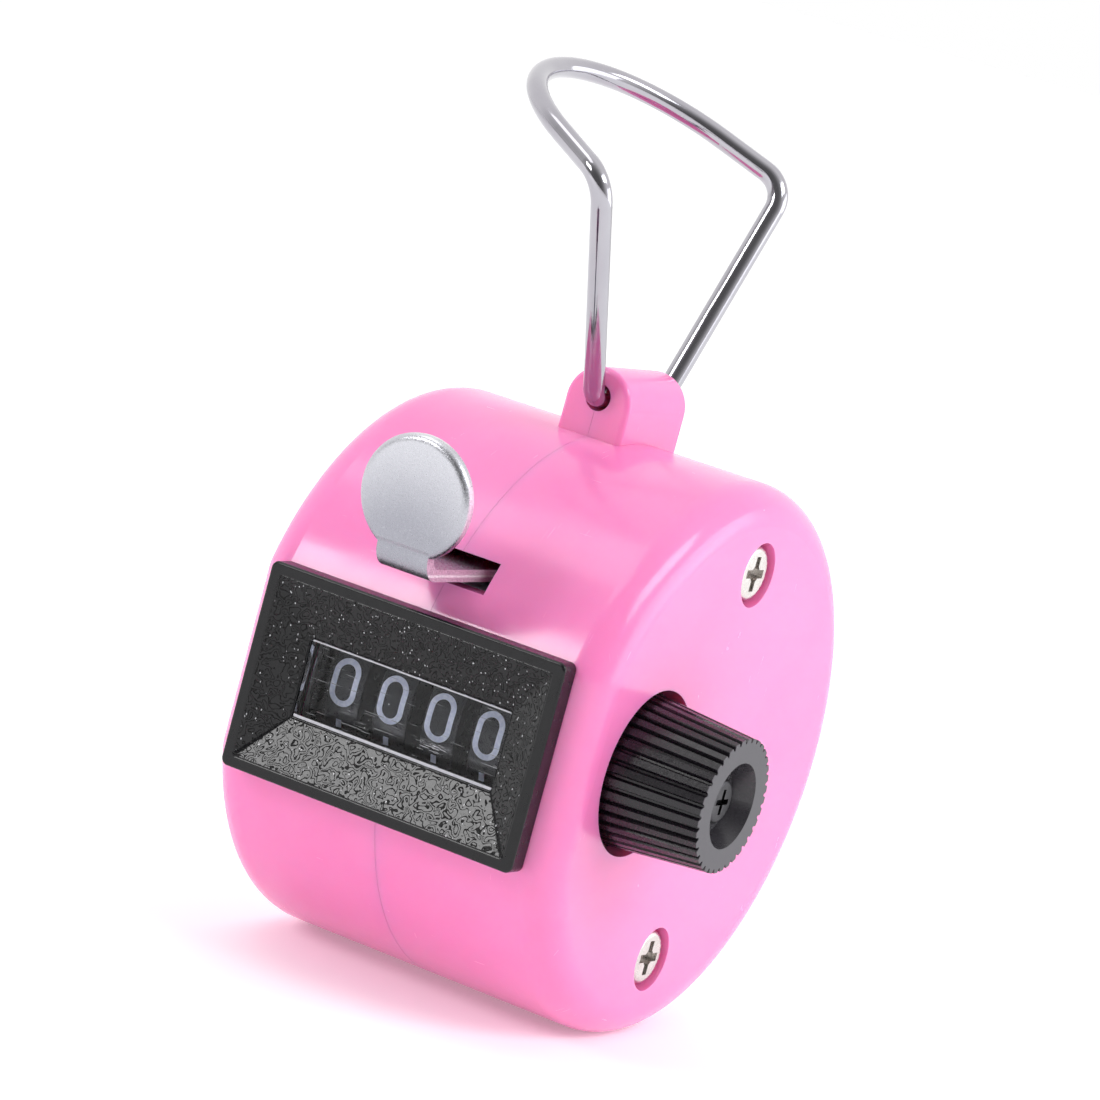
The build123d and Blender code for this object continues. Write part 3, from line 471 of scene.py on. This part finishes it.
def satin_steel():
    """Plated pressed steel: fine tumbled grain, a polished rim where the edge was turned over, a painted
    highlight crescent over its upper part, and sides left raw by the shear, smooth at the faces of the sheet
    and torn pale between them, the smooth parts painted pink as a painted reflection of the case."""
    f = Finish("satin_steel")
    radius = (pad_hi.x - pad_lo.x) / 2 / MM
    centre = Vector(((pad_hi.x + pad_lo.x) / 2 / MM, 0, pad_hi.z / MM - radius))
    from_centre = f.distance(centre, (1, 0, 1))
    edge = f.step(from_centre, radius - PAD_EDGE_MM, radius - 0.10)
    # painted highlight: a crescent between the pad's flat middle and its rim, over its upper part only, is
    # painted lighter
    crown = f.step(f.part("Z"), centre.z + 1.0, centre.z + 3.6)
    painted_crescent_highlight = f.both(f.step(from_centre, PAD_FLAT_MM, radius - 0.2), crown)
    side = f.step(f.math("ABSOLUTE", f.normal_part("X")), 0.80, 0.97)
    sheared = f.both(side, f.without(edge))

    grain = f.noise(9.0, detail=3, roughness=0.7)
    pits = f.step(f.cells(3.2), 0.05, 0.16, 1, 0)
    streaks = f.noise(1.0, detail=4, roughness=0.7, stretch=(2, 0.6, 7))
    shear = f.noise(1.0, detail=3, roughness=0.7, stretch=(1, 9, 0.8))
    ragged = f.math("ADD", f.off("Z", ARM_MIDDLE_MM), f.both(shear, 0.35))
    torn = f.step(ragged, 0.24, 0.30, 1, 0)

    steel = f.mix(f.noise(0.35, detail=4), (0.31, 0.31, 0.35), (0.36, 0.36, 0.405))
    steel = f.mix(f.step(f.noise(8.0, detail=3, roughness=0.7), 0.60, 0.76), steel, (0.55, 0.55, 0.59))
    steel = f.mix(painted_crescent_highlight, steel, (0.56, 0.56, 0.60))
    steel = f.mix(edge, steel, (0.66, 0.66, 0.69))
    # painted reflection: the smooth bands of the sheared sides are painted pink, standing in for the pink
    # case reflected in them
    smooth = f.mix(f.step(shear, 0.4, 0.6), (0.60, 0.40, 0.52), (0.72, 0.55, 0.65))
    f.set("Base Color", f.mix(sheared, steel, f.mix(torn, smooth, (0.95, 0.93, 0.95))))
    satin = f.step(grain, 0.3, 0.7, 0.22, 0.36)
    f.set("Roughness", f.blend(edge, satin, f.step(streaks, 0.35, 0.65, 0.10, 0.28)))
    f.set("Metallic", f.blend(sheared, 1.0, 0.45))
    f.bump(
        (f.both(grain, f.blend(edge, 1.0, 0.2)), 0.016),
        (f.both(pits, f.blend(edge, 1.0, 0.0)), 0.006),
        (f.both(streaks, edge), 0.012),
        (f.both(shear, side), 0.03),
    )
    return f.material


def metal(name, dark, light, rough, grain_mm, per_mm, stretch=(1, 1, 1), patches_per_mm=0.25):
    """Metal with a grain, drawn or turned if stretched, in patches between two tones."""
    f = Finish(name, Metallic=1.0)
    grain = f.noise(per_mm, detail=4, roughness=0.6, stretch=stretch)
    f.set("Base Color", f.mix(f.noise(patches_per_mm, detail=4), dark, light))
    f.set("Roughness", f.step(grain, 0.3, 0.7, *rough))
    f.bump((grain, grain_mm))
    return f.material


METALS = {
    "chromed_wire": {
        "dark": (0.37, 0.355, 0.395),
        "light": (0.47, 0.46, 0.49),
        "rough": (0.06, 0.15),
        "grain_mm": 0.0025,
        "per_mm": 2.0,
        "stretch": (1, 1, 0.3),
    },
    "nickel_screw": {
        "dark": (0.54, 0.50, 0.47),
        "light": (0.78, 0.75, 0.72),
        "rough": (0.20, 0.36),
        "grain_mm": 0.010,
        "per_mm": 3.0,
        "patches_per_mm": 1.6,
    },
    "black_screw": {
        "dark": (0.030, 0.028, 0.032),
        "light": (0.07, 0.068, 0.075),
        "rough": (0.28, 0.42),
        "grain_mm": 0.006,
        "per_mm": 3.0,
    },
    "shaft_steel": {
        "dark": (0.42, 0.42, 0.44),
        "light": (0.56, 0.56, 0.58),
        "rough": (0.20, 0.36),
        "grain_mm": 0.003,
        "per_mm": 3.0,
        "stretch": (6, 1, 1),
    },
    "frame_steel": {
        "dark": (0.36, 0.37, 0.39),
        "light": (0.50, 0.51, 0.53),
        "rough": (0.28, 0.45),
        "grain_mm": 0.003,
        "per_mm": 5.0,
    },
    "spring_steel": {
        "dark": (0.30, 0.30, 0.32),
        "light": (0.44, 0.44, 0.46),
        "rough": (0.22, 0.34),
        "grain_mm": 0.002,
        "per_mm": 6.0,
    },
    "bush_brass": {
        "dark": (0.55, 0.40, 0.16),
        "light": (0.74, 0.56, 0.27),
        "rough": (0.22, 0.36),
        "grain_mm": 0.003,
        "per_mm": 3.0,
        "stretch": (6, 1, 1),
    },
}


# ==== each CAD node gets the finish of its slot ====

SHAPED_FINISHES = (
    body_plastic,
    bezel_plastic,
    clear_plastic,
    knob_plastic,
    wheel_plastic,
    washer_nylon,
    satin_steel,
)
finishes = {make.__name__: make() for make in SHAPED_FINISHES}
finishes.update({name: metal(name, **looks) for name, looks in METALS.items()})
for row in frame["record"]["subparts"]:
    node = nodes[row["node"]]
    node.data.materials.clear()
    node.data.materials.append(finishes[row["material_slot"]])


# ==== figures on the wheels ====

WHEELS = ("units_wheel", "tens_wheel", "hundreds_wheel", "thousands_wheel")
DRUM_WIDTH_MM = 3.05
FIGURE_SHIFT_MM = 0.15  # the figures sit this far left of their drum's middle
FIGURE_HEIGHT_MM = 3.83
FIGURE_WIDTH_MM = 2.35
STROKE_MM = 0.47
SHARPEST_MITRE = 0.35  # no corner is mitred as if its averaged normal were shorter, squared
FIGURE_MIDDLE = 1.5  # degrees above the front at which the figure shown in the window is centred
FIGURE_STEP = -36.0  # degrees from each figure to the next
INK_TOP_MM = 0.035  # above the drum
INK_BOTTOM_MM = -0.02
INK_LAYER_MM = 0.002  # each further stroke of a figure lies this much higher, where they cross
HALF_W = (FIGURE_WIDTH_MM - STROKE_MM) / 2
TALL = FIGURE_HEIGHT_MM - STROKE_MM


def oval(x, z, half_w, half_h, start, end, steps=20):
    """Points along an ellipse, angles in degrees anticlockwise from +x."""
    points = []
    for i in range(steps + 1):
        a = math.radians(start + (end - start) * i / steps)
        points.append((x + half_w * math.cos(a), z + half_h * math.sin(a)))
    return points


def straight(a, b, steps=8):
    return [(a[0] + (b[0] - a[0]) * i / steps, a[1] + (b[1] - a[1]) * i / steps) for i in range(steps + 1)]


def joined(*runs):
    """One run of points from several, without repeats where they meet."""
    points = list(runs[0])
    for run in runs[1:]:
        points += run[1:] if math.dist(points[-1], run[0]) < 1e-6 else run
    return points


def figure_strokes():
    """For each figure 0 to 9, its strokes as (points, closed), z from 0 at its foot."""
    w, h = HALF_W, TALL
    bowl = 0.31 * h  # half the height of the bowl in a 5, 6 or 9
    zero = joined(
        oval(0, h - w, w, w, 0, 180),
        straight((-w, h - w), (-w, w)),
        oval(0, w, w, w, 180, 360),
        straight((w, w), (w, h - w)),
    )[:-1]
    one = straight((0, 0), (0, h), 12)
    arch = oval(0, h - w, w, w, 175, -28)
    two = joined(arch, straight(arch[-1], (-w, 0)), straight((-w, 0), (w, 0)))
    three = joined(
        oval(0, 0.76 * h, 0.9 * w, 0.24 * h, 160, -90),
        oval(0, 0.26 * h, w, 0.26 * h, 90, -160),
    )
    four_arms = joined(straight((0.45 * w, h), (-w, 0.3 * h)), straight((-w, 0.3 * h), (w, 0.3 * h)))
    four_stem = straight((0.45 * w, h), (0.45 * w, 0), 12)
    five = joined(
        straight((0.85 * w, h), (-0.8 * w, h)),
        straight((-0.8 * w, h), (-0.9 * w, 0.52 * h)),
        oval(0, bowl, w, bowl, 140, -155),
    )
    six_bowl = oval(0, bowl, w, bowl, 0, 360, 36)[:-1]
    six_neck = oval(0.55 * w, bowl, 1.55 * w, h - bowl, 172, 92)
    six = [(six_bowl, True), (six_neck, False)]
    seven = joined(straight((-w, h), (w, h)), straight((w, h), (-0.25 * w, 0), 12))
    eight_head = oval(0, 0.765 * h, 0.88 * w, 0.235 * h, 0, 360, 32)[:-1]
    eight_foot = oval(0, 0.265 * h, w, 0.265 * h, 0, 360, 36)[:-1]
    return [
        [(zero, True)],
        [(one, False)],
        [(two, False)],
        [(three, False)],
        [(four_arms, False), (four_stem, False)],
        [(five, False)],
        six,
        [(seven, False)],
        [(eight_head, True), (eight_foot, True)],
        [([(-x, h - z) for x, z in points], closed) for points, closed in six],
    ]


def stroke_edges(points, closed):
    """The two sides of a stroke of even width, mitred at its corners."""
    sides = []
    count = len(points)
    for i, (x, z) in enumerate(points):
        before = points[i - 1] if closed or i else None
        after = points[(i + 1) % count] if closed or i < count - 1 else None
        normals = []
        for a, b in ((before, (x, z)), ((x, z), after)):
            if a is not None and b is not None:
                length = math.dist(a, b)
                normals.append(Vector(((a[1] - b[1]) / length, (b[0] - a[0]) / length)))
        normal = sum(normals, Vector((0, 0))) / len(normals)
        normal *= STROKE_MM / 2 / max(normal.length_squared, SHARPEST_MITRE)
        sides.append(((x + normal.x, z + normal.y), (x - normal.x, z - normal.y)))
    return sides


def on_drum(drum_middle, turn, x, z, rise_mm):
    """Where a point of a figure lies when it is wrapped round the drum."""
    radius = DRUM_RADIUS + rise_mm * MM
    angle = turn + (z - TALL / 2) * MM / DRUM_RADIUS
    return (drum_middle + x * MM, AXLE_Y - radius * math.cos(angle), radius * math.sin(angle))


def strip_faces(first, rings, closed):
    """Faces of a bar whose sections are rings of four vertices, numbered from first."""
    faces = []
    for i in range(rings if closed else rings - 1):
        a, b = first + 4 * i, first + 4 * ((i + 1) % rings)
        for k in range(4):
            faces.append((a + k, b + k, b + (k + 1) % 4, a + (k + 1) % 4))
    if not closed:
        last = first + 4 * (rings - 1)
        faces.append((first, first + 1, first + 2, first + 3))
        faces.append((last + 3, last + 2, last + 1, last))
    return faces


def make_figures(wheel):
    """The ten figures of one wheel as thin raised ink, wrapped round its drum."""
    drum_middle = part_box(wheel)[0].x + (DRUM_WIDTH_MM / 2 - FIGURE_SHIFT_MM) * MM
    verts, faces = [], []
    for figure, strokes in enumerate(figure_strokes()):
        turn = math.radians(FIGURE_MIDDLE + FIGURE_STEP * figure)
        for layer, (points, closed) in enumerate(strokes):
            top = INK_TOP_MM + INK_LAYER_MM * layer
            sides = stroke_edges(points, closed)
            faces += strip_faces(len(verts), len(sides), closed)
            for left, right in sides:
                for side, rise in ((left, INK_BOTTOM_MM), (left, top), (right, top), (right, INK_BOTTOM_MM)):
                    verts.append(on_drum(drum_middle, turn, *side, rise))
    mesh = bpy.data.meshes.new(wheel.replace("wheel", "figures"))
    mesh.from_pydata(verts, [], faces)
    mesh.validate()
    mesh.update()
    mesh.materials.append(ink)
    obj = add(bpy.data.objects.new(mesh.name, mesh))
    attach(obj, wheel.replace("_wheel", ""))


ink = figure_paint()
for wheel_name in WHEELS:
    make_figures(wheel_name)


# ==== floor, camera and lights ====

floor_z = cad_box[0].z
corners = [(x * FLOOR_HALF, y * FLOOR_HALF, floor_z) for x, y in ((-1, -1), (1, -1), (1, 1), (-1, 1))]
floor_mesh = bpy.data.meshes.new("floor")
floor_mesh.from_pydata(corners, [], [(0, 1, 2, 3)])
floor_mesh.materials.append(floor_paint())
floor = add(bpy.data.objects.new("floor", floor_mesh))

COOL = (0.93, 0.97, 1.0)
COOLER = (0.92, 0.96, 1.0)
make_camera()
make_world()
softbox("key", azimuth=-30, elevation=28, distance=0.8, width=0.26, height=0.22, radiance=9.5)
softbox("top", azimuth=-50, elevation=66, distance=0.9, width=0.5, height=0.3, radiance=1.6)
softbox("side", azimuth=96, elevation=44, distance=0.8, width=0.55, height=0.22, radiance=5.0, colour=COOL)
softbox("low", azimuth=125, elevation=8, distance=0.9, width=0.8, height=0.5, radiance=1.8, colour=COOLER)
bpy.context.scene.view_settings.view_transform = "Standard"
